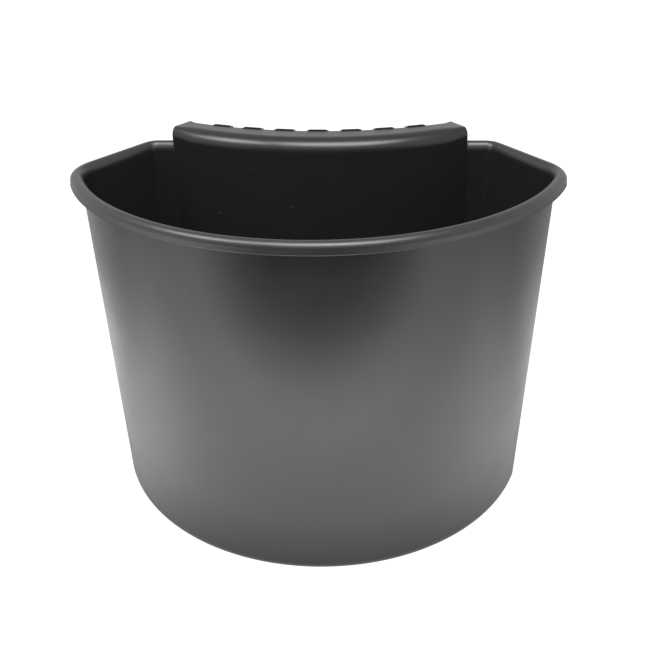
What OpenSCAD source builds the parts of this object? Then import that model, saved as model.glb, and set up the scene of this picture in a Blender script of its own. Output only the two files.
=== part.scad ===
// Hook-over feed bucket: a D-shaped tub with a round front, slanting sides, a rolled rim and a
// back wall that curves forwards and rises into a broad hook. One moulding, split into its regions.
// Millimetres. +X to the bucket's right, +Y to the back (hook side), +Z up.

/* [Tub] */
// Height of the rim's top above the ground
rim_h = 308.5; // [260:0.5:312]
// Radius of the round front, on the outside of the wall at the rim
front_r = 203; // [190:1:215]
// Half of the angle that the round front spans
front_half_angle = 69; // [60:1:72]
// Radius of the corner between the front and a slanting side
side_corner_r = 32.5; // [25:0.5:40]
// Direction that a slanting side faces, measured from +X
side_facing = 33; // [25:1:40]
// Distance from the centre of the round front to the flat of the back
back_y = 14.3; // [5:0.1:25]
// Outside radius of the back corners
back_corner_r = 10; // [8.5:0.5:14]
// Wall thickness
wall_t = 2.8; // [2:0.1:3.5]
// Draft of every upright wall, in degrees
draft = 1.89; // [1:0.01:2.3]

/* [Rim] */
// How far the rolled rim stands out from the wall
rim_overhang = 8.4; // [7:0.1:10]
// Height of the rim, from its top to the lower edge of its skirt
rim_drop = 9.1; // [7.5:0.1:12]

/* [Base] */
// Radius of the rounded bottom edge
edge_r = 13.5; // [6:0.5:14]
// Thickness of the floor plate
floor_t = 3; // [2:0.1:4]
// Height of the foot ring under the floor plate
foot_h = 1.5; // [1:0.1:3]
// Width of the foot ring
foot_w = 4; // [2:0.5:4]

/* [Hook] */
// Height of the hook's top face above the ground
hook_h = 321.8; // [320:0.1:350]
// Width of the hook along its rear edge
hook_rear_w = 232; // [200:1:236]
// How far the middle of the back wall bulges forwards from the flat of the back
bulge = 40.8; // [35:0.1:45]
// Radius of the bulged back wall, on its inside face at the rim
bulge_r = 237.5; // [200:0.5:300]
// Distance that the hook's rear edge lies behind the bulge's front, at the middle
hook_depth = 31; // [28:0.5:45]
// Radius of the hook's rear edge
lip_r = 255; // [230:1:300]
// Length of the turned-down lip
lip_drop = 45; // [25:1:60]
// Radius of the hook's rounded front edge
fold_r = 10; // [5:0.5:10]
// Number of grip ribs
rib_count = 7; // [3:2:9]
// Angle between neighbouring ribs, about the centre of the rear edge
rib_step = 6.38; // [5:0.01:7]
// Length of a rib along the rear edge
rib_w = 13.5; // [8:0.5:18]
// How far a rib stands out of the lip and above the top
rib_proud = 1.3; // [1:0.1:2]
// How far a rib reaches forwards over the top
rib_reach = 3.2; // [2:0.1:6]

/* [Hidden] */
$fn = 64;
charcoal = [0.20, 0.20, 0.21];

// Levels
bead_r = (rim_overhang + wall_t) / 2;
bead_z = rim_h - bead_r;              // centre of the rolled bead, where the walls start
base_h = edge_r + 6;                  // top of the base node, where the walls end
fold_z = hook_h - fold_r;             // where the back wall starts to fold over
lip_z = hook_h - lip_drop;
rib_a = rib_w / lip_r * 180 / PI;     // angle that one rib spans
sweep_a = 36;                         // half angle of the sweeps that the mitre planes trim

// Plan of the tub at the rim, with the centre of the round front at [0, 0]
front_end = front_half_angle - 90;
corner_c = (front_r - side_corner_r) * [cos(front_end), sin(front_end)];
side_n = [cos(side_facing), sin(side_facing)];
side_d = side_n * corner_c + side_corner_r;   // distance of the slanting side's plane from [0, 0]
bulge_y = back_y - bulge + bulge_r;           // centre of the bulged back wall
lip_y = back_y - bulge + hook_depth + lip_r;  // centre of the hook's rear edge
hook_rear = [hook_rear_w / 2, lip_y - sqrt(lip_r * lip_r - hook_rear_w * hook_rear_w / 4)];
// The model's origin lies below the middle of its box
shift_y = (front_r + rim_overhang - hook_rear[1]) / 2;

// How far a wall has moved inwards at height z
function inset(z) = (bead_z - z) * tan(draft);

// Centre of the back corner's arc where the walls have moved inwards by d
function back_corner_c(d) =
    let (y = back_y - back_corner_r - d)
    [(side_d - back_corner_r - d - side_n[1] * y) / side_n[0], y];

// Point where the flat of the back meets the bulged wall, at an inward offset
function kink(off) =
    let (r = bulge_r - wall_t + off, y = back_y - off)
    [sqrt(r * r - (bulge_y - y) * (bulge_y - y)), y];

function arc(c, r, a0, a1, n) = [for (i = [0:n]) c + r * [cos(a0 + (a1 - a0) * i / n),
                                                        sin(a0 + (a1 - a0) * i / n)]];
function mirrored(pts) = [for (i = [len(pts) - 1:-1:0]) [-pts[i][0], pts[i][1]]];

// Outline of the tub, inside the rim's outline by off, where its walls have moved inwards by d
function half_outline(off, d) =
    let (k = kink(off), r_back = max(0.6, back_corner_r - (off - d)))
    concat(arc([0, 0], front_r - off, -90, front_end, 28),
           arc(corner_c, side_corner_r - off, front_end, side_facing, 8),
           arc(back_corner_c(off + r_back - back_corner_r), r_back, side_facing, 90, 6),
           [for (i = [0:10]) let (a = asin(k[0] / (bulge_r - wall_t + off)) * (1 - i / 10))
               [0, bulge_y] + (bulge_r - wall_t + off) * [sin(a), -cos(a)]]);
function outline(off, d) =
    let (h = half_outline(off, d))
    concat(h, mirrored([for (i = [1:len(h) - 2]) h[i]]));

function at_z(pts, z) = [for (p = pts) [p[0], p[1], z]];

// Closed skin over a list of loops that have equal numbers of points, with flat ends
module skin(loops) {
    n = len(loops[0]);
    m = len(loops);
    polyhedron(
        points = [for (l = loops) for (p = l) p],
        faces = concat([[for (i = [0:n - 1]) i]],
                       [[for (i = [n - 1:-1:0]) (m - 1) * n + i]],
                       [for (j = [0:m - 2]) for (i = [0:n - 1])
                           [j * n + i, (j + 1) * n + i, (j + 1) * n + (i + 1) % n, j * n + (i + 1) % n]]),
        convexity = 8);
}

module placed() {
    translate([0, shift_y, 0]) children();
}

module on_left() {
    mirror([1, 0, 0]) children();
}

// Sweeps a section round an arc, with the section's x axis pointing outwards from radius r
module round_sweep(c, r, a0, a1) {
    translate([c[0], c[1], 0]) rotate([0, 0, a0])
        rotate_extrude(angle = a1 - a0, $fn = 256) translate([r, 0]) children();
}

// Sweeps a section along a straight from point p to point q, with the section's x axis outwards
module straight_sweep(p, q) {
    d = q - p;
    translate([p[0], p[1], 0]) rotate([0, 0, atan2(d[1], d[0]) - 90])
        rotate([90, 0, 0]) mirror([0, 0, 1]) linear_extrude(norm(d)) children();
}

// Section of a drafted wall between two heights
module wall_section(z0, z1) {
    polygon([[-inset(z0), z0], [-inset(z1), z1], [-inset(z1) - wall_t, z1], [-inset(z0) - wall_t, z0]]);
}

// Section of the rolled rim: half a ring with a turned-down skirt
module rim_section() {
    translate([bead_r - wall_t, bead_z]) intersection() {
        difference() {
            circle(bead_r);
            circle(bead_r - wall_t);
        }
        translate([-bead_r, 0]) square([2 * bead_r, bead_r]);
    }
    translate([rim_overhang - wall_t, rim_h - rim_drop]) square([wall_t, rim_drop - bead_r]);
}

// Everything between the two mitre planes beside the hook, along the line from a to b
module between_mitres(a, b) {
    reach = 200;
    margin = 10;
    u = (b - a) / norm(b - a);
    p = a - u * reach;
    q = b + u * reach;
    translate([0, 0, -margin]) linear_extrude(hook_h + 2 * margin)
        polygon([[p[0], p[1]], [q[0], q[1]], [-q[0], q[1]], [-p[0], p[1]]]);
}

// Floor plate, foot ring and rounded bottom edge, up to where the walls start
module base() {
    d = inset(edge_r);
    steps = 4;
    in_r = edge_r - wall_t;
    top_d = inset(base_h);
    color(charcoal) placed() skin(concat(
        [at_z(outline(d + edge_r + foot_w, d), foot_h)],
        [at_z(outline(d + edge_r + foot_w, d), 0)],
        [for (i = [0:steps]) let (a = 90 * i / steps)
            at_z(outline(d + edge_r * (1 - sin(a)), d), edge_r * (1 - cos(a)))],
        [at_z(outline(top_d, top_d), base_h)],
        [at_z(outline(top_d + wall_t, top_d), base_h)],
        [for (i = [steps:-1:0]) let (a = 90 * i / steps)
            at_z(outline(d + wall_t + in_r * (1 - sin(a)), d), foot_h + floor_t + in_r * (1 - cos(a)))]));
}

module front_wall() {
    color(charcoal) placed() round_sweep([0, 0], front_r, -180 - front_end, front_end)
        wall_section(base_h, bead_z);
}

module side_corner() {
    round_sweep(corner_c, side_corner_r, front_end, side_facing) wall_section(base_h, bead_z);
}

module side_corner_left() {
    color(charcoal) placed() on_left() side_corner();
}

module side_corner_right() {
    color(charcoal) placed() side_corner();
}

// Plan of the slanting side at height z, as a closed loop
function side_loop(z) =
    let (d = inset(z), c = back_corner_c(d))
    at_z([corner_c + side_n * (side_corner_r - d - wall_t), corner_c + side_n * (side_corner_r - d),
          c + side_n * back_corner_r, c + side_n * (back_corner_r - wall_t)], z);

module side_panel() {
    skin([side_loop(base_h), side_loop(bead_z)]);
}

module side_panel_left() {
    color(charcoal) placed() on_left() side_panel();
}

module side_panel_right() {
    color(charcoal) placed() side_panel();
}

// Plan of the back corner and the short flat beside the hook, as a closed loop
function back_loop(z) =
    let (d = inset(z), c = back_corner_c(d), n = 10)
    at_z(concat(arc(c, back_corner_r, side_facing, 90, n), [kink(d)],
                [kink(d + wall_t)], arc(c, back_corner_r - wall_t, 90, side_facing, n)), z);

module back_corner() {
    skin([back_loop(base_h), back_loop(bead_z)]);
}

module back_corner_left() {
    color(charcoal) placed() on_left() back_corner();
}

module back_corner_right() {
    color(charcoal) placed() back_corner();
}

// Bulged back wall, which stands above the rim and carries the hook
module back_panel() {
    color(charcoal) placed() {
        intersection() {
            round_sweep([0, bulge_y], bulge_r, -90 - sweep_a, -90 + sweep_a) polygon([
                [inset(base_h), base_h], [0, bead_z], [-wall_t, bead_z], [inset(base_h) - wall_t, base_h]]);
            between_mitres(kink(inset(base_h)), kink(0));
        }
        intersection() {
            round_sweep([0, bulge_y], bulge_r, -90 - sweep_a, -90 + sweep_a)
                translate([-wall_t, bead_z]) square([wall_t, fold_z - bead_z]);
            between_mitres(kink(0), hook_rear);
        }
    }
}

module rim_front() {
    color(charcoal) placed() round_sweep([0, 0], front_r, -180 - front_end, front_end) rim_section();
}

module rim_corner() {
    round_sweep(corner_c, side_corner_r, front_end, side_facing) rim_section();
}

module rim_corner_left() {
    color(charcoal) placed() on_left() rim_corner();
}

module rim_corner_right() {
    color(charcoal) placed() rim_corner();
}

module rim_side() {
    straight_sweep(corner_c + side_n * side_corner_r, back_corner_c(0) + side_n * back_corner_r)
        rim_section();
}

module rim_side_left() {
    color(charcoal) placed() on_left() rim_side();
}

module rim_side_right() {
    color(charcoal) placed() rim_side();
}

// Rim round the back corner and along the flat, up to the hook
module rim_back() {
    c = back_corner_c(0);
    round_sweep(c, back_corner_r, side_facing, 90) rim_section();
    straight_sweep([c[0], back_y], kink(0)) rim_section();
}

module rim_back_left() {
    color(charcoal) placed() on_left() rim_back();
}

module rim_back_right() {
    color(charcoal) placed() rim_back();
}

// Rounded front edge, where the back wall turns into the top
module hook_fold() {
    color(charcoal) placed() intersection() {
        round_sweep([0, bulge_y], bulge_r - fold_r, -90 - sweep_a, -90 + sweep_a)
            translate([0, fold_z]) intersection() {
                difference() {
                    circle(fold_r);
                    circle(fold_r - wall_t);
                }
                square(fold_r);
            }
        between_mitres(kink(0), hook_rear);
    }
}

// Flat top between the fold and the lip
module hook_top() {
    color(charcoal) placed() intersection() {
        translate([0, 0, hook_h - wall_t]) linear_extrude(wall_t) difference() {
            translate([0, bulge_y]) circle(bulge_r - fold_r, $fn = 256);
            translate([0, lip_y]) circle(lip_r + wall_t, $fn = 256);
        }
        between_mitres(kink(0), hook_rear);
    }
}

// Lip behind the top, with the hook's rear edge
module hook_lip() {
    color(charcoal) placed() intersection() {
        round_sweep([0, lip_y], lip_r, -90 - sweep_a, -90 + sweep_a)
            translate([0, lip_z]) square([wall_t, lip_drop]);
        between_mitres(kink(0), hook_rear);
    }
}

// One grip rib: up the back of the lip and over the rear edge
module rib() {
    round_sweep([0, lip_y], lip_r, -90 - rib_a / 2, -90 + rib_a / 2) polygon([
        [-rib_proud, lip_z], [0, lip_z], [0, hook_h], [rib_reach, hook_h],
        [rib_reach - rib_proud / 2, hook_h + rib_proud], [-rib_proud / 2, hook_h + rib_proud],
        [-rib_proud, hook_h + rib_proud / 2]]);
}

module hook_ribs() {
    color(charcoal) placed() for (i = [0:rib_count - 1])
        translate([0, lip_y]) rotate((i - (rib_count - 1) / 2) * rib_step) translate([0, -lip_y]) rib();
}

base();
front_wall();
side_corner_left();
side_corner_right();
side_panel_left();
side_panel_right();
back_corner_left();
back_corner_right();
back_panel();
rim_front();
rim_corner_left();
rim_corner_right();
rim_side_left();
rim_side_right();
rim_back_left();
rim_back_right();
hook_fold();
hook_top();
hook_lip();
hook_ribs();
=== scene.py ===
"""Looks of the hook-over feed bucket: one charcoal moulding, as smooth shells over the CAD frame.

Every shell is a closed section swept along stations of the tub's outline or of the hook, with exact
normals, so that neighbouring pieces shade as one skin. Lengths are in millimetres until a mesh is
made, and in metres from there on.
"""

import math

import bmesh
import bpy
import numpy as np
from mathutils import Matrix, Vector


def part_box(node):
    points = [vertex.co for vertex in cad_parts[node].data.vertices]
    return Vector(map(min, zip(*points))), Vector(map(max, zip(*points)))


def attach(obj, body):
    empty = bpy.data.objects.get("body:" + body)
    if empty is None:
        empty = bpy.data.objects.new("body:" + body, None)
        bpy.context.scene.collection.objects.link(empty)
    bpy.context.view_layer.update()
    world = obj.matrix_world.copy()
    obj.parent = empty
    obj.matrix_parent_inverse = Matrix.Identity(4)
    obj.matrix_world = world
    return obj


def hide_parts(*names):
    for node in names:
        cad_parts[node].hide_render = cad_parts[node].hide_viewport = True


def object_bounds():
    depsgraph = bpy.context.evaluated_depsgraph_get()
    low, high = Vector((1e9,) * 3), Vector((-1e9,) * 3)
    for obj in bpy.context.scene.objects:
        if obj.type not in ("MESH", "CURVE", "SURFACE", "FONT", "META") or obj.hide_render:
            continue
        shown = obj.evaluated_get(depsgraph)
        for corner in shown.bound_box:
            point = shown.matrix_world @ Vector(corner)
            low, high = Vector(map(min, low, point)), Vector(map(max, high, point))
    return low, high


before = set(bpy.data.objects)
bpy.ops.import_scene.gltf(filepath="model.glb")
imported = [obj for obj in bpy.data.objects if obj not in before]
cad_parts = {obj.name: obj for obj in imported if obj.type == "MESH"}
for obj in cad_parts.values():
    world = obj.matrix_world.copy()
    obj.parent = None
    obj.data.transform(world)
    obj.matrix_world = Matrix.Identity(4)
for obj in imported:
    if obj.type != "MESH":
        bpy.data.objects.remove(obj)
cad_low, cad_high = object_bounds()

MM = 0.001

# ---------------------------------------------------------------- sizes, as in the CAD
FRONT_R = 203.0            # round front, outside of the wall at the rim
FRONT_HALF_ANGLE = 69.0
SIDE_CORNER_R = 32.5
SIDE_FACING = 33.0         # direction that a slanting side faces, from +X
BACK_Y = 14.3              # flat of the back, from the centre of the round front
BACK_CORNER_R = 10.0
KINK_R = 5.0               # rounding where the flat of the back turns into the bulge
WALL_T = 2.8
DRAFT = math.tan(math.radians(1.89))
OVERHANG = 8.4             # of the rim, beyond the wall
RIM_DROP = 9.1             # from the rim's crest to the skirt's lower edge
EDGE_R = 13.5              # rounded bottom edge
FLOOR_T = 3.0
FOOT_H = 1.5
FOOT_W = 4.0
BASE_H = EDGE_R + 6
BULGE = 40.8               # how far the back curves in towards the front
BULGE_R = 237.5
LIP_R = 255.0              # rear edge of the hook, in plan
HOOK_DEPTH = 31.0
HOOK_REAR_W = 232.0
LIP_DROP = 45.0
RIB_COUNT = 7
RIB_STEP = math.radians(6.38)
RIB_W = 13.5

RIM_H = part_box("rim_front")[1].z / MM
HOOK_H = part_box("hook_top")[1].z / MM
PLAN_Y = cad_low.y / MM + FRONT_R + OVERHANG    # the round front's centre, in the frame

BEAD_R = (OVERHANG + WALL_T) / 2
BEAD_Z = RIM_H - BEAD_R
LIP_Z = HOOK_H - LIP_DROP
FRONT_END = FRONT_HALF_ANGLE - 90
CORNER_C = (FRONT_R - SIDE_CORNER_R) * np.array([math.cos(math.radians(FRONT_END)),
                                                 math.sin(math.radians(FRONT_END))])
SIDE_N = np.array([math.cos(math.radians(SIDE_FACING)), math.sin(math.radians(SIDE_FACING))])
SIDE_D = SIDE_N @ CORNER_C + SIDE_CORNER_R
BULGE_C = np.array([0.0, BACK_Y - BULGE + BULGE_R])
LIP_C = np.array([0.0, BACK_Y - BULGE + HOOK_DEPTH + LIP_R])

# ---------------------------------------------------------------- sizes that only the looks have
HOOK_TURN = math.radians(-0.4)     # the hook sits slightly to the left, along its own arcs
ROLL_DEPTH = 9.0                   # deep rounding of the mouth's inner side
ROLL_START = math.degrees(math.asin(1 - BEAD_R / ROLL_DEPTH))    # where it passes from wall to rim


def inset(z):
    """How far the drafted walls have moved inwards at height z."""
    return (BEAD_Z - z) * DRAFT


# ---------------------------------------------------------------- outline of the tub in plan
ARC_STEPS = {"front": 140, "corner": 20, "side": 6, "back_corner": 14, "flat": 2, "kink": 8,
             "panel": 84}
RIGHT_ORDER = ("corner", "side", "back_corner", "flat", "kink")


def arc(centre, radius, a0, a1, steps, turn=1.0):
    """Points along an arc and their normals: outward, or inward where turn is -1. Degrees."""
    a = np.radians(np.linspace(a0, a1, steps + 1))
    out = np.stack([np.cos(a), np.sin(a)], 1)
    return centre + radius * out, turn * out


def straight(p, q, normal, steps):
    """Points from p to q, and the same normal at each."""
    t = np.linspace(0, 1, steps + 1)[:, None]
    return p + (q - p) * t, np.repeat(np.array(normal)[None], steps + 1, 0)


def outline(d, e):
    """Closed outline, inside the wall's outer outline at the rim by the inset d and a further e.

    Returns [(stretch, (points, normals)), ...] in the order front, right side, panel, left side.
    """
    off = d + e
    r_back = max(0.5, BACK_CORNER_R - e)
    r_kink = max(0.3, KINK_R - e)
    y_back = BACK_Y - off - r_back
    back_c = np.array([(SIDE_D - off - r_back - SIDE_N[1] * y_back) / SIDE_N[0], y_back])
    panel_r = BULGE_R - WALL_T + off
    y_kink = BACK_Y - off - r_kink
    kink_c = np.array([math.sqrt((panel_r + r_kink) ** 2 - (BULGE_C[1] - y_kink) ** 2), y_kink])
    if kink_c[0] > back_c[0]:
        # this far in, the slanting side meets the bulge directly
        along = np.array([-SIDE_N[1], SIDE_N[0]])
        rel = SIDE_N * (SIDE_D - off) - BULGE_C
        step = -(rel @ along) - math.sqrt((rel @ along) ** 2 - rel @ rel + panel_r ** 2)
        back_c = kink_c = BULGE_C + rel + along * step
        r_back = r_kink = 0.0
    towards = BULGE_C - kink_c
    kink_end = math.degrees(math.atan2(towards[1], towards[0]))
    s = ARC_STEPS
    parts = {"front": arc(np.zeros(2), FRONT_R - off, -180 - FRONT_END, FRONT_END, s["front"])}
    parts["corner"] = arc(CORNER_C, SIDE_CORNER_R - off, FRONT_END, SIDE_FACING, s["corner"])
    parts["back_corner"] = arc(back_c, r_back, SIDE_FACING, 90, s["back_corner"])
    parts["side"] = straight(parts["corner"][0][-1], parts["back_corner"][0][0], SIDE_N, s["side"])
    parts["kink"] = arc(kink_c, r_kink, 90, kink_end, s["kink"])
    parts["flat"] = straight(parts["back_corner"][0][-1], parts["kink"][0][0], (0, 1), s["flat"])
    panel_a = kink_end - 180
    parts["panel"] = arc(BULGE_C, panel_r, panel_a, -180 - panel_a, s["panel"], -1.0)
    flip = np.array([-1, 1])
    order = [("front", parts["front"])]
    order += [(n + "_right", parts[n]) for n in RIGHT_ORDER]
    order += [("panel", parts["panel"])]
    for n in RIGHT_ORDER[::-1]:
        points, normals = parts[n]
        order.append((n + "_left", (points[::-1] * flip, normals[::-1] * flip)))
    return order


def stations(order, names):
    """Points and normals of some neighbouring stretches of an outline, as one run of stations."""
    found = dict(order)
    points = [found[names[0]][0]] + [found[n][0][1:] for n in names[1:]]
    normals = [found[names[0]][1]] + [found[n][1][1:] for n in names[1:]]
    return np.concatenate(points), np.concatenate(normals)


# ---------------------------------------------------------------- sections
# A section is a closed loop of runs, which meet at sharp edges. A run is a list of rows
# (e, z, out, up): the inward offset e and the height z, and the normal's outward and upward parts.

def line(p, q, normal, steps=1):
    """Straight part of a section."""
    return [(p[0] + (q[0] - p[0]) * i / steps, p[1] + (q[1] - p[1]) * i / steps, *normal)
            for i in range(steps + 1)]


def bend(ce, cz, r, a0, a1, steps, hollow=False):
    """Arc in a section. Angle 0 points outwards and 90 up. A hollow arc's normals face inwards."""
    sign = -1 if hollow else 1
    rows = []
    for i in range(steps + 1):
        a = math.radians(a0 + (a1 - a0) * i / steps)
        c, s = math.cos(a), math.sin(a)
        rows.append((ce - r * c, cz + r * s, sign * c, sign * s))
    return rows


def inner_roll(a0, a1, steps):
    """Deep rounding of the mouth's inner side: 0 degrees at the wall, 90 at the rim's crest."""
    rows = []
    for i in range(steps + 1):
        a = math.radians(a0 + (a1 - a0) * i / steps)
        out, up = -math.cos(a) / BEAD_R, math.sin(a) / ROLL_DEPTH
        size = math.hypot(out, up)
        e = WALL_T - BEAD_R + BEAD_R * math.cos(a)
        rows.append((e, RIM_H - ROLL_DEPTH * (1 - math.sin(a)), out / size, up / size))
    return rows


def wall_section(rolled=True):
    """Drafted wall from the base to the bead's middle, with or without the start of the roll."""
    out = (1, -DRAFT)
    rows = 12
    inner_top = RIM_H - ROLL_DEPTH if rolled else BEAD_Z
    inner = line((WALL_T, inner_top), (WALL_T, BASE_H), (-1, DRAFT), rows)
    if rolled:
        inner = inner_roll(ROLL_START, 0, 4)[:-1] + inner
    return [line((0, BASE_H), (0, BEAD_Z), out, rows), line((0, BEAD_Z), inner[0][:2], (0, 1)),
            inner, line((WALL_T, BASE_H), (0, BASE_H), (0, -1))]


def rim_section():
    """Rolled bead with a turned-down skirt, whose lower edge carries a fine parting flash."""
    inner = BEAD_R - WALL_T
    c = -inner                             # offset of the bead's centre
    skirt_z = RIM_H - RIM_DROP
    out_e, in_e = -OVERHANG, -OVERHANG + WALL_T
    edge_r, tip_r = 0.5, 0.12              # roundings of the skirt's inner edge and the flash's tip
    flash_h, flash_out = 0.45, 0.40
    flash_n = (0.67, 0.74)
    tip_e = out_e - flash_out + tip_r
    channel = bend(c, BEAD_Z, inner, 180, 0, 16, hollow=True)
    skirt_in = line((in_e, BEAD_Z), (in_e, skirt_z + edge_r), (-1, 0))
    lower = bend(in_e - edge_r, skirt_z + edge_r, edge_r, 180, 270, 4)
    lower += line((in_e - edge_r, skirt_z), (tip_e, skirt_z), (0, -1))[1:]
    flash = bend(tip_e, skirt_z + tip_r, tip_r, -90, 0, 3)
    flash += line((out_e - flash_out, skirt_z + tip_r), (out_e, skirt_z + flash_h), flash_n)[1:]
    skirt = line((out_e, skirt_z + flash_h), (out_e, BEAD_Z), (1, 0), 3)
    crest = bend(c, BEAD_Z, BEAD_R, 0, 90, 20) + inner_roll(90, ROLL_START, 20)[1:]
    seam = line(crest[-1][:2], (0, BEAD_Z), (0, -1))
    return [channel, skirt_in, lower, flash, skirt, crest, seam]


# ---------------------------------------------------------------- meshes
class Skin:
    """Collects faces with exact corner normals, and becomes one object."""

    def __init__(self):
        self.verts, self.faces, self.normals = [], [], []

    def grid(self, points, normals, closed=False):
        """Faces over points[station][row], with the normals there. Both are (s, r, 3)."""
        s, r = points.shape[:2]
        base = len(self.verts)
        self.verts.extend(points.reshape(-1, 3))
        n = normals.reshape(-1, 3)
        n = n / np.maximum(np.linalg.norm(n, axis=1), 1e-12)[:, None]
        for i in range(s if closed else s - 1):
            j = (i + 1) % s
            for k in range(r - 1):
                quad = (i * r + k, j * r + k, j * r + k + 1, i * r + k + 1)
                self.faces.append([base + q for q in quad])
                self.normals.append([n[q] for q in quad])

    def cap(self, ring):
        """One flat face over a ring of points."""
        base = len(self.verts)
        self.verts.extend(ring)
        self.faces.append(list(range(base, base + len(ring))))
        normal = np.cross(ring - ring[0], np.roll(ring, -1, 0) - ring[0]).sum(0)
        self.normals.append([normal / np.linalg.norm(normal)] * len(ring))

    def section(self, runs, closed=False, whole=True):
        """Joins smooth runs, each (points, normals), into one swept solid.

        A gap between one run's end and the next one's start becomes a flat face. The ends of an
        open sweep are capped. A section that isn't whole is left open, for the next one to close.
        """
        for (p, n), (q, _) in zip(runs, runs[1:] + runs[:1]):
            self.grid(p, n, closed)
            step = q[:, 0] - p[:, -1]
            if np.linalg.norm(step, axis=1).max() > 1e-6 and (whole or q is not runs[0][0]):
                travel = np.gradient(p[:, -1], axis=0)
                if closed:
                    travel = np.roll(p[:, -1], -1, 0) - np.roll(p[:, -1], 1, 0)
                flat = np.cross(travel, step)
                self.grid(np.stack([p[:, -1], q[:, 0]], 1), np.stack([flat, flat], 1), closed)
        if not closed:
            loop = np.concatenate([p for p, _ in runs], 1)
            self.cap(loop[0])
            self.cap(loop[-1][::-1])

    def build(self, name, material, replaces):
        """Object in metres, with equal points merged, that stands in for a CAD node."""
        verts = np.array(self.verts) * MM
        verts[:, 1] += PLAN_Y * MM
        keys = {}
        index = [keys.setdefault(tuple(v), len(keys)) for v in np.round(verts, 7).tolist()]
        faces, normals = [], []
        for face, corners in zip(self.faces, self.normals):
            ids, kept = [], []
            for v, n in zip(face, corners):
                if index[v] not in ids:
                    ids.append(index[v])
                    kept.append(tuple(n))
            if len(ids) > 2:
                faces.append(ids)
                normals.extend(kept)
        mesh = bpy.data.meshes.new(name)
        mesh.from_pydata(list(keys), [], faces)
        mesh.update()
        mesh.shade_smooth()
        mesh.normals_split_custom_set(normals)
        mesh.materials.append(material)
        obj = bpy.data.objects.new(name, mesh)
        bpy.context.collection.objects.link(obj)
        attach(obj, "root")
        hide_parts(replaces)


def lifted(plan, z):
    """(s, 2) places in plan and one or (s,) heights, as (s, 3)."""
    heights = np.broadcast_to(np.asarray(z, float), (len(plan),))
    return np.concatenate([plan, heights[:, None]], 1)


def tub_runs(section, names=None, level=None):
    """Runs of a section along named stretches of the tub's outline, or all the way round it."""
    made = []
    for run in section:
        points, normals = [], []
        for e, z, out, up in run:
            order = outline(inset(z) if level is None else level, e)
            p, n = stations(order, names or [k for k, _ in order])
            if not names:
                p, n = p[:-1], n[:-1]
            points.append(lifted(p, z))
            normals.append(lifted(n * out, up))
        made.append((np.stack(points, 1), np.stack(normals, 1)))
    return made


# ---------------------------------------------------------------- materials
PIGMENT = np.array([0.0125, 0.0125, 0.0136])
MOTTLE_NOISE = (14, 3)             # noise scale per metre and detail, here and below
MOTTLE = 0.05                      # share that the pigment varies by, up and down
DUST = (0.16, 0.16, 0.155, 1)
SPECK_CELLS = 40                   # cells per metre, each with one speck somewhere inside
SPECK_EDGE = (0.012, 0.024)        # where a speck fades out, in cells
GLOSS_NOISE = (30, 4)
GLOSS_ENDS = (0.3, 0.7)            # noise values that the roughness changes between
GLOSS_SPREAD = (-0.02, 0.03)       # roughness at those ends, from the plastic's own
GRAIN = (900, 2, 0.10, 0.0003)     # noise scale and detail, bump strength and distance
WAVE = (9, 1, 0.25, 0.002)


def mapped(tree, value, ends, results, curve="LINEAR"):
    """Value remapped from the range between two ends to two results, and level beyond them."""
    node = tree.nodes.new("ShaderNodeMapRange")
    node.interpolation_type = curve
    for i, v in enumerate((*ends, *results)):
        node.inputs[i + 1].default_value = v
    tree.links.new(value, node.inputs[0])
    return node.outputs[0]


def maths(tree, operation, value, factor):
    """Math node, with a number or another node's output as its second input."""
    node = tree.nodes.new("ShaderNodeMath")
    node.operation = operation
    tree.links.new(value, node.inputs[0])
    if isinstance(factor, float):
        node.inputs[1].default_value = factor
    else:
        tree.links.new(factor, node.inputs[1])
    return node.outputs[0]


def noise(tree, place, scale, detail):
    node = tree.nodes.new("ShaderNodeTexNoise")
    node.inputs["Scale"].default_value = scale
    node.inputs["Detail"].default_value = detail
    tree.links.new(place, node.inputs["Vector"])
    return node.outputs["Fac"]


def bump(tree, place, scale, detail, strength, distance):
    node = tree.nodes.new("ShaderNodeBump")
    node.inputs["Strength"].default_value = strength
    node.inputs["Distance"].default_value = distance
    tree.links.new(noise(tree, place, scale, detail), node.inputs["Height"])
    return node


def colour_mix(tree, factor, low, high):
    """Mix of two colours. The low one may be another node's output."""
    node = tree.nodes.new("ShaderNodeMix")
    node.data_type = "RGBA"
    tree.links.new(factor, node.inputs[0])
    if isinstance(low, tuple):
        node.inputs[6].default_value = low
    else:
        tree.links.new(low, node.inputs[6])
    node.inputs[7].default_value = high
    return node.outputs[2]


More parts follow.
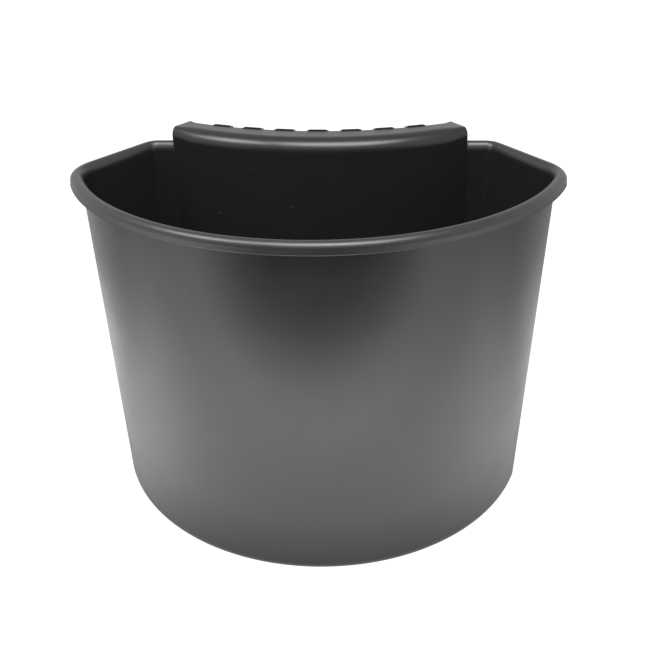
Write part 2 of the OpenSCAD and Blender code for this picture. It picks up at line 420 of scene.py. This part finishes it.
def charcoal(name, roughness=0.29, painted_lift=1.0, shine=0.5):
    """Charcoal moulded plastic with a soft sheen.

    It has faint flow mottling, fine grain and a thin scatter of pale dust specks.
    """
    mat = bpy.data.materials.new(name)
    mat.use_nodes = True
    tree = mat.node_tree
    bsdf = tree.nodes["Principled BSDF"]
    bsdf.inputs["IOR"].default_value = 1.5
    bsdf.inputs["Specular IOR Level"].default_value = shine
    place = tree.nodes.new("ShaderNodeTexCoord").outputs["Object"]

    # painted_lift scales the pigment. Above 1 it is painted light: a lighter copy of the same
    # plastic, standing in for more light falling on it
    low, high = ((*(PIGMENT * painted_lift * k), 1) for k in (1 - MOTTLE, 1 + MOTTLE))
    pigment = colour_mix(tree, noise(tree, place, *MOTTLE_NOISE), low, high)
    specks = tree.nodes.new("ShaderNodeTexVoronoi")
    specks.inputs["Scale"].default_value = SPECK_CELLS
    tree.links.new(place, specks.inputs["Vector"])
    dusty = mapped(tree, specks.outputs["Distance"], SPECK_EDGE, (1.0, 0.0))
    tree.links.new(colour_mix(tree, dusty, pigment, DUST), bsdf.inputs["Base Color"])

    span = [roughness + change for change in GLOSS_SPREAD]
    gloss = mapped(tree, noise(tree, place, *GLOSS_NOISE), GLOSS_ENDS, span)
    tree.links.new(gloss, bsdf.inputs["Roughness"])
    grain, wave = bump(tree, place, *GRAIN), bump(tree, place, *WAVE)
    tree.links.new(grain.outputs["Normal"], wave.inputs["Normal"])
    tree.links.new(wave.outputs["Normal"], bsdf.inputs["Normal"])
    return mat


tub_plastic = charcoal("charcoal_tub")
# The rim is the same plastic as the rest, with its pigment painted 1.2 times lighter for the light
# that the bead catches. Its roughness and shine differ as well
rim_plastic = charcoal("charcoal_rim_painted_lighter", roughness=0.35, painted_lift=1.2, shine=0.65)
hook_plastic = charcoal("charcoal_hook", roughness=0.29)


# ---------------------------------------------------------------- tub
WALL_NODES = {"front": "front_wall", "corner": "side_corner", "side": "side_panel",
              "back": "back_corner"}


def ring_pieces():
    """Yields (place, side, stretches) of every wall or rim piece. The front has no side."""
    yield "front", "", ["front"]
    for side in ("_left", "_right"):
        yield "corner", side, ["corner" + side]
        yield "side", side, ["side" + side]
        back = ["back_corner" + side, "flat" + side, "kink" + side]
        yield "back", side, back if side == "_right" else back[::-1]


def build_walls():
    for place, side, names in ring_pieces():
        node = WALL_NODES[place] + side
        skin = Skin()
        skin.section(tub_runs(wall_section(), names))
        skin.build(node + "_shell", tub_plastic, node)


def build_base():
    """Floor with its foot ring, rounded outer edge and coved inner corner."""
    soft = 0.4                         # rounding of the foot ring's inner edge
    low = inset(EDGE_R)
    in_r = EDGE_R - WALL_T
    floor_z = FOOT_H + FLOOR_T
    high = inset(floor_z + in_r)
    foot_e = EDGE_R + FOOT_W
    foot = line((foot_e, FOOT_H), (foot_e, soft), (-1, 0))
    foot += bend(foot_e - soft, soft, soft, 180, 270, 3)[1:]
    foot += line((foot_e - soft, 0), (EDGE_R, 0), (0, -1))[1:]
    foot += bend(EDGE_R, EDGE_R, EDGE_R, 270, 360, 12)[1:]
    wall = [line((0, EDGE_R), (0, BASE_H), (1, -DRAFT)),
            line((WALL_T, BASE_H), (WALL_T, floor_z + in_r), (-1, DRAFT))]
    cove = bend(WALL_T + in_r, floor_z + in_r, in_r, 0, -90, 10, hollow=True)
    skin = Skin()
    skin.section(tub_runs([foot], level=low), closed=True, whole=False)
    skin.section(tub_runs(wall), closed=True, whole=False)
    skin.section(tub_runs([cove], level=high), closed=True, whole=False)
    underside, _ = tub_runs([[(foot_e, FOOT_H, 0, -1)]], level=low)[0]
    floor, _ = tub_runs([[(WALL_T + in_r, floor_z, 0, 1)]], level=high)[0]
    skin.cap(underside[::-1, 0])
    skin.cap(floor[:, 0])
    skin.build("base_shell", tub_plastic, "base")


def build_rim():
    for place, side, names in ring_pieces():
        node = "rim_" + place + side
        skin = Skin()
        skin.section(tub_runs(rim_section(), names, level=0.0))
        skin.build(node + "_bead", rim_plastic, node)


# ---------------------------------------------------------------- hook
HOOK_STEPS = 160
END_ROUND = 0.8                    # rounding of the edges at the hook's two ends
FOLD_H, FOLD_END_H = 11.5, 8.0     # height of the rounded fold, in the middle and at the ends
FOLD_D, FOLD_END_D = 12.0, 5.5     # and its depth
FOLD_TAPER = 0.82                  # share of the half width where the fold starts to tighten
REAR_R, REAR_END_R = 4.0, 0.8      # rounding of the hook's rear edge, and at its ends
REAR_TAPER = 8.0                   # length over which the rear edge sharpens
INNER_R = 2.0                      # fillet between the lip and the top
TOE_R = 1.1                        # rounding of the lip's lower edge


def eased(t):
    """Smooth step from 0 to 1, as t goes from 0 to 1."""
    t = np.clip(t, 0, 1)
    return t ** 2 * (3 - 2 * t)


class Hook:
    """Stations across the hook, each a line from its front face to its rear face.

    The last stations at each end lean over and step in, which rounds the end's edges.
    """

    def __init__(self):
        half = HOOK_REAR_W / 2
        lip_a = math.asin(half / LIP_R)
        corner = LIP_C + LIP_R * np.array([math.sin(lip_a), -math.cos(lip_a)])
        panel_r = BULGE_R - WALL_T
        kink = np.array([math.sqrt(panel_r ** 2 - (BULGE_C[1] - BACK_Y) ** 2), BACK_Y])
        front_a = self.crossing(kink, corner)
        phi = np.radians(np.linspace(0, 90, 6))
        margin = END_ROUND / (front_a * BULGE_R)
        ends = 1 - margin * (1 - np.sin(phi))
        middle = np.linspace(margin - 1, 1 - margin, HOOK_STEPS + 1)[1:-1]
        share = np.concatenate([-ends[::-1], middle, ends])
        self.tilt = np.concatenate([-phi[::-1], np.zeros(len(middle)), phi])
        self.shrink = END_ROUND * (1 - np.cos(self.tilt))
        self.share = share
        at = {"front": (BULGE_C, BULGE_R, share * front_a), "rear": (LIP_C, LIP_R, share * lip_a)}
        self.places, self.back = {}, {}
        for face, (centre, radius, a) in at.items():
            self.back[face] = np.stack([-np.sin(a + HOOK_TURN), np.cos(a + HOOK_TURN)], 1)
            self.places[face] = centre - radius * self.back[face]
        across = self.places["rear"] - self.places["front"]
        self.depth = np.linalg.norm(across, axis=1)
        self.across = across / self.depth[:, None]
        self.side = np.stack([self.across[:, 1], -self.across[:, 0]], 1)

    def crossing(self, p, q):
        """Angle at which the front face's arc crosses the line through p and q."""
        u = (q - p) / np.linalg.norm(q - p)
        rel = p - BULGE_C
        along = -(rel @ u) - math.sqrt(BULGE_R ** 2 - rel @ rel + (rel @ u) ** 2)
        x, y = rel + along * u
        return math.atan2(x, -y)

    def run(self, rows):
        """Smooth run of rows (face, xi, z, out, up): xi behind a face, with the normal's parts."""
        points, normals = [], []
        for face, xi, z, out, up in rows:
            flat = self.back[face] * np.reshape(out, (-1, 1))
            place = self.places[face] + self.across * np.reshape(xi - out * self.shrink, (-1, 1))
            points.append(lifted(place, z - up * self.shrink))
            rounded = lifted(flat, up) * np.cos(self.tilt)[:, None]
            normals.append(rounded + lifted(self.side * np.sin(self.tilt)[:, None], 0))
        return np.stack(points, 1), np.stack(normals, 1)


def turn(face, x, z, r, a0, a1, steps, hollow=False, r_x=None):
    """Arc of hook rows. Angle 0 points backwards and 90 up. A hollow arc's normals face its centre.

    An arc with its own horizontal radius r_x is part of an ellipse.
    """
    ratio = 1.0 if r_x is None else r / r_x
    sign = -1 if hollow else 1
    found = []
    for i in range(steps + 1):
        a = math.radians(a0 + (a1 - a0) * i / steps)
        out, up = math.cos(a) * ratio, math.sin(a)
        size = sign / np.hypot(out, up)
        at = x + r / ratio * math.cos(a)
        found.append((face, at, z + r * math.sin(a), out * size, up * size))
    return found


def climb(face, x, z0, z1, out, steps=3):
    """Upright hook rows at x behind a face."""
    return [(face, x, z0 + (z1 - z0) * i / steps, out, 0) for i in range(steps + 1)]


def build_hook():
    hook = Hook()
    top, under = HOOK_H, HOOK_H - WALL_T
    # the fold is an elliptical quarter, broad in the middle and tighter at the ends
    half_share = np.abs(hook.share)
    end = eased((half_share - FOLD_TAPER) / (1 - FOLD_TAPER))
    fold_r = FOLD_H + (FOLD_END_H - FOLD_H) * end
    fold_x = FOLD_D + (FOLD_END_D - FOLD_D) * end
    fold_z = top - fold_r
    from_end = (1 - half_share) * HOOK_REAR_W / 2
    rear_r = REAR_END_R + (REAR_R - REAR_END_R) * eased(from_end / REAR_TAPER)
    bore, bore_x = fold_r - WALL_T, fold_x - WALL_T
    plate_end = hook.depth - WALL_T - INNER_R
    start_z = BEAD_Z - 0.5             # the upright starts a little inside the drafted wall
    plate = fold_x + (plate_end - fold_x) * np.linspace(0, 1, 7)[:, None]
    outer_lip = [("rear", -WALL_T - INNER_R, top, 0, 1)]
    outer_lip += turn("rear", -rear_r, top - rear_r, rear_r, 90, 0, 12)
    outer_lip += turn("rear", -TOE_R, LIP_Z + TOE_R, TOE_R, 0, -90, 6)
    inner_lip = turn("rear", TOE_R - WALL_T, LIP_Z + TOE_R, TOE_R, -90, -180, 6)
    inner_lip += turn("rear", -WALL_T - INNER_R, under - INNER_R, INNER_R, 0, 90, 6, hollow=True)
    runs = {
        "back_panel": [climb("front", 0, start_z, fold_z, -1),
                       climb("front", WALL_T, fold_z, start_z, 1)],
        "hook_fold": [turn("front", fold_x, fold_z, fold_r, 180, 90, 20, r_x=fold_x),
                      turn("front", fold_x, fold_z, bore, 90, 180, 12, hollow=True, r_x=bore_x)],
        "hook_top": [[("front", x, top, 0, 1) for x in plate],
                     [("front", x, under, 0, -1) for x in plate[::-1]]],
        "hook_lip": [outer_lip, inner_lip],
    }
    for node, rows in runs.items():
        skin = Skin()
        if node == "back_panel":
            skin.section(tub_runs(wall_section(rolled=False), ["panel"]))
        skin.section([hook.run(r) for r in rows])
        skin.build(node + "_shell", hook_plastic, node)


def surface(points):
    """Normals of a grid of points, from its own slopes."""
    n = np.cross(np.gradient(points, axis=0), np.gradient(points, axis=1))
    return n / np.linalg.norm(n, axis=2)[:, :, None]


def build_ribs():
    """Grip ribs over the hook's rear edge and down the back of its lip, with sloping flanks."""
    proud, sunk = 1.1, 0.5         # above the hook's surface, and below it
    reach = 3.0                    # over the top, in front of the lip's back
    nose_r, foot_r = 0.4, 3.0      # roundings of the front end and of the foot
    round_r = reach + proud
    top, foot_z = HOOK_H + proud, LIP_Z + 1.5
    straight_z = (HOOK_H - 8, LIP_Z + 6)
    ramp = 2.6                     # width of a flank
    half_flat = RIB_W / 2 - 0.2
    low = 0.03                     # share of the height that is left at a flank's edge
    side = np.linspace(half_flat, half_flat + ramp, 11)
    t = np.concatenate([-side[::-1], np.linspace(-half_flat, half_flat, 7)[1:-1], side])
    rise = low + (1 - low) * eased((half_flat + ramp - np.abs(t)) / ramp)
    nose = [(-reach, HOOK_H - sunk), (-reach, HOOK_H), (-reach, top - nose_r)]
    nose += [(nose_r * (1 - math.cos(a)) - reach, top - nose_r + nose_r * math.sin(a))
             for a in (0.5, 1.0, math.pi / 2)]
    over = [(proud - round_r + round_r * math.sin(a), top - round_r + round_r * math.cos(a))
            for a in np.radians(np.linspace(4, 90, 13))]
    down = [(proud, z) for z in np.linspace(*straight_z, 6)]
    foot = [(proud * math.cos(a), foot_z + foot_r - foot_r * math.sin(a))
            for a in np.radians((15, 40, 65, 90))]
    outer = nose + over[1:] + down + foot
    inner = [(-sunk, foot_z), (-sunk, HOOK_H - REAR_R)]
    inner += [(-REAR_R, HOOK_H - sunk), (-reach, HOOK_H - sunk)]
    skin = Skin()
    for i in range(RIB_COUNT):
        a = t / LIP_R + (i - (RIB_COUNT - 1) / 2) * RIB_STEP + HOOK_TURN
        back = np.stack([-np.sin(a), np.cos(a)], 1)
        grids = []
        for rows, scale in ((outer, rise), (inner, np.ones(len(t)))):
            grid = []
            for x, z in rows:
                # a flank's edge lies on the lip's own surface, and leans forwards over the top
                base_x, base_z = min(x, 0.0), min(z, HOOK_H)
                lean = reach * (1 - scale) * (x <= nose_r - reach)
                plan = LIP_C - back * (LIP_R - base_x - (x - base_x) * scale + lean)[:, None]
                grid.append(lifted(plan, base_z + (z - base_z) * scale))
            grids.append(np.stack(grid, 1))
        skin.section([(g, surface(g)) for g in grids])
    skin.build("hook_ribs_shell", hook_plastic, "hook_ribs")


build_walls()
build_base()
build_rim()
build_hook()
build_ribs()


# ---------------------------------------------------------------- camera
CAMERA_AT = Vector((41.18 * MM, (PLAN_Y - 760.25) * MM, 545.87 * MM))
# Turns in radians. A heading of 0 looks along +Y, and the pitch goes downwards.
HEADING, PITCH, ROLL = 0.0471, 0.4973, -0.0134
LENS = 49.55


def make_camera():
    data = bpy.data.cameras.new("camera")
    data.sensor_width = 36
    data.lens = LENS
    data.dof.use_dof = False
    cam = bpy.data.objects.new("camera", data)
    turned = Matrix.Rotation(HEADING, 4, "Z") @ Matrix.Rotation(math.pi / 2 - PITCH, 4, "X")
    cam.matrix_world = Matrix.Translation(CAMERA_AT) @ turned @ Matrix.Rotation(ROLL, 4, "Z")
    bpy.context.collection.objects.link(cam)
    bpy.context.scene.camera = cam


# ---------------------------------------------------------------- studio
FLOOR_SIZE = 14
FLOOR_GLOW = 1.15
FLOOR_Z, POOL_Z = -0.0004, -0.0002
BACKDROP_R = 20
# The floor sends its light up through a pool that the camera doesn't see. Its strength goes by the
# distance from the round front's centre, as (distance, strength) stops in metres.
POOL_SIZE = 3.2
POOL_TOP = 3.0
POOL_STOPS = ((0.10, 0.2), (0.19, 0.7), (0.22, 1.3), (0.26, 2.1), (0.33, 2.6), (0.42, 2.7),
              (0.50, 2.2), (0.60, 1.5), (0.75, 1.3), (1.0, 1.1))
# Then it changes along X or Y, given as the two ends in metres and the factors there
POOL_CHANGES = (("Y", (-0.44, -0.32), (1.55, 1.0)),        # brighter in front
                ("Y", (-0.18, 0.05), (1.0, 0.5)),          # weaker behind
                ("X", (0.15, 0.45), (1.0, 0.85)))          # and on the right
# Towards the camera it is dark, except at the sides
POOL_DARK = ((-0.54, -0.46), (0.0, 1.0))
POOL_DARK_SIDES = ((0.35, 0.65), (0.0, 1.0))
FLAG_SIZE, FLAG_AT = (2.6, 0.9), (0, -1.55, 0.5)
# Sky, as (position, strength) stops from straight down at 0 to straight up at 1
SKY_TOP = 1.2
SKY_STOPS = ((0.50, 0.65), (0.67, 0.95), (0.74, 0.85), (0.80, 0.6), (0.93, 0.5), (1.0, 0.5))
# Softboxes: extent along X and Y, and radiance
SOFTBOX_Z = 1.8
SOFTBOXES = {"softbox_front": ((-0.46, 0.75), (-1.15, -0.25), 11.0),
             "softbox_left": ((-1.75, -0.74), (-0.95, -0.10), 10.5)}


def glowing(name, strength):
    """Matt surface that gives off white light."""
    mat = bpy.data.materials.new(name)
    mat.use_nodes = True
    bsdf = mat.node_tree.nodes["Principled BSDF"]
    bsdf.inputs["Base Color"].default_value = (0.02, 0.02, 0.02, 1)
    bsdf.inputs["Specular IOR Level"].default_value = 0.0
    bsdf.inputs["Emission Color"].default_value = (1, 1, 1, 1)
    bsdf.inputs["Emission Strength"].default_value = strength
    return mat


def stepped(tree, value, stops, top):
    """Value remapped through a few stops, none of them stronger than top."""
    ramp = tree.nodes.new("ShaderNodeValToRGB")
    ramp.color_ramp.interpolation = "EASE"
    elements = ramp.color_ramp.elements
    while len(elements) < len(stops):
        elements.new(0.5)
    for element, (at, strength) in zip(elements, stops):
        element.position = at
        element.color = (strength / top, strength / top, strength / top, 1)
    tree.links.new(value, ramp.inputs[0])
    return maths(tree, "MULTIPLY", ramp.outputs[0], top)


def split_axes(tree, place):
    node = tree.nodes.new("ShaderNodeSeparateXYZ")
    tree.links.new(place, node.inputs[0])
    return node.outputs


def pool_material():
    mat = glowing("light_pool", 1.0)
    tree = mat.node_tree
    place = tree.nodes.new("ShaderNodeTexCoord").outputs["Object"]
    axes = split_axes(tree, place)
    reach = tree.nodes.new("ShaderNodeVectorMath")
    reach.operation = "LENGTH"
    tree.links.new(place, reach.inputs[0])
    glow = stepped(tree, reach.outputs["Value"], POOL_STOPS, POOL_TOP)
    for axis, ends, factors in POOL_CHANGES:
        glow = maths(tree, "MULTIPLY", glow, mapped(tree, axes[axis], ends, factors, "SMOOTHSTEP"))
    aside = maths(tree, "ABSOLUTE", axes["X"], 0.0)
    lit = maths(tree, "MAXIMUM", mapped(tree, axes["Y"], *POOL_DARK, "SMOOTHSTEP"),
                mapped(tree, aside, *POOL_DARK_SIDES, "SMOOTHSTEP"))
    glow = maths(tree, "MULTIPLY", glow, lit)
    tree.links.new(glow, tree.nodes["Principled BSDF"].inputs["Emission Strength"])
    return mat


def backdrop(name, radius, material):
    """White surroundings, which only the camera sees."""
    mesh = bpy.data.meshes.new(name)
    ball = bmesh.new()
    bmesh.ops.create_icosphere(ball, subdivisions=4, radius=radius)
    ball.to_mesh(mesh)
    ball.free()
    mesh.materials.append(material)
    obj = bpy.data.objects.new(name, mesh)
    obj.visible_diffuse = False
    obj.visible_glossy = False
    obj.visible_transmission = False
    obj.visible_shadow = False
    bpy.context.collection.objects.link(obj)


def panel(name, size_x, size_y, at, material, tilt=0.0, seen=True):
    """Flat rectangle, level or tilted about X. One that the camera doesn't see only gives light."""
    mesh = bpy.data.meshes.new(name)
    x, y = size_x / 2, size_y / 2
    mesh.from_pydata([(-x, -y, 0), (x, -y, 0), (x, y, 0), (-x, y, 0)], [], [(0, 1, 2, 3)])
    mesh.materials.append(material)
    obj = bpy.data.objects.new(name, mesh)
    obj.location = at
    obj.rotation_euler = (tilt, 0, 0)
    obj.visible_camera = seen
    bpy.context.collection.objects.link(obj)


def softbox(name, x_range, y_range, radiance):
    """Level area light, facing down."""
    light = bpy.data.lights.new(name, "AREA")
    light.shape = "RECTANGLE"
    light.size, light.size_y = x_range[1] - x_range[0], y_range[1] - y_range[0]
    light.energy = radiance * math.pi * light.size * light.size_y
    obj = bpy.data.objects.new(name, light)
    obj.location = (sum(x_range) / 2, sum(y_range) / 2, SOFTBOX_Z)
    bpy.context.collection.objects.link(obj)


def make_world():
    """White surroundings for light and reflections, brightest well above the horizon."""
    world = bpy.data.worlds.new("studio")
    world.use_nodes = True
    tree = world.node_tree
    axes = split_axes(tree, tree.nodes.new("ShaderNodeTexCoord").outputs["Generated"])
    strength = stepped(tree, mapped(tree, axes["Z"], (-1, 1), (0, 1)), SKY_STOPS, SKY_TOP)
    background = tree.nodes["Background"]
    background.inputs["Color"].default_value = (1, 1, 1, 1)
    tree.links.new(strength, background.inputs["Strength"])
    bpy.context.scene.world = world


def make_studio():
    pale = glowing("pale_floor", FLOOR_GLOW)
    pool_at = (0, PLAN_Y * MM, POOL_Z)
    panel("floor", FLOOR_SIZE, FLOOR_SIZE, (0, 0, FLOOR_Z), pale)
    backdrop("backdrop", BACKDROP_R, pale)
    panel("light_pool", POOL_SIZE, POOL_SIZE, pool_at, pool_material(), seen=False)
    panel("dark_flag", *FLAG_SIZE, FLAG_AT, glowing("dark_flag", 0.0), tilt=math.pi / 2, seen=False)
    for name, parts in SOFTBOXES.items():
        softbox(name, *parts)
    make_world()
    bpy.context.scene.view_settings.view_transform = "Standard"


make_camera()
make_studio()
